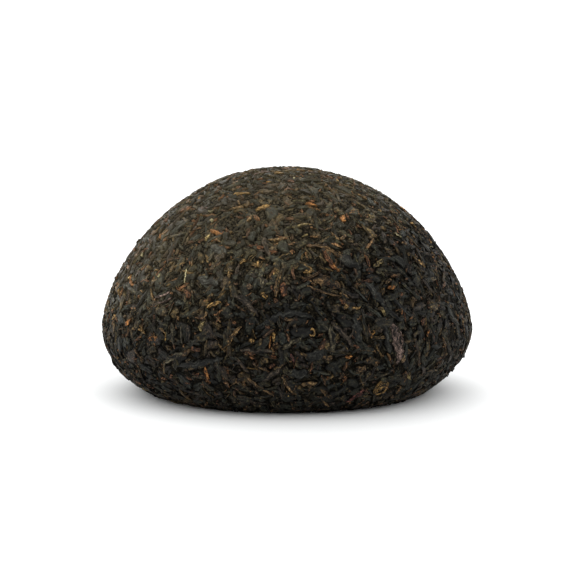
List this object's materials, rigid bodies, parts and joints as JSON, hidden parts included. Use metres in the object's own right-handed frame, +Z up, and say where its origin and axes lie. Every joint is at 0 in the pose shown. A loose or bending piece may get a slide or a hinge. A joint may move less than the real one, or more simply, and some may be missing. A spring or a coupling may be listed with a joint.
{
  "type": "pressed tea cake",
  "caption": "Small domed cake of pressed dark ripe pu erh tea leaf, nest-shaped, standing on its round rim with a deep hollow underneath.",
  "frame": {"origin": "centre of the flat ring-shaped sole that the cake stands on", "axes": "+Z up through the top of the dome, the axis that the cake is round about; -Y towards the side that the picture shows"},
  "size_m": [0.0824, 0.0828, 0.0497],
  "materials": {
    "dark_leaf": "matte, dried black-brown leaf"
  },
  "bodies": {
    "root": {"tea_cake": "dark_leaf"}
  },
  "joints": []
}
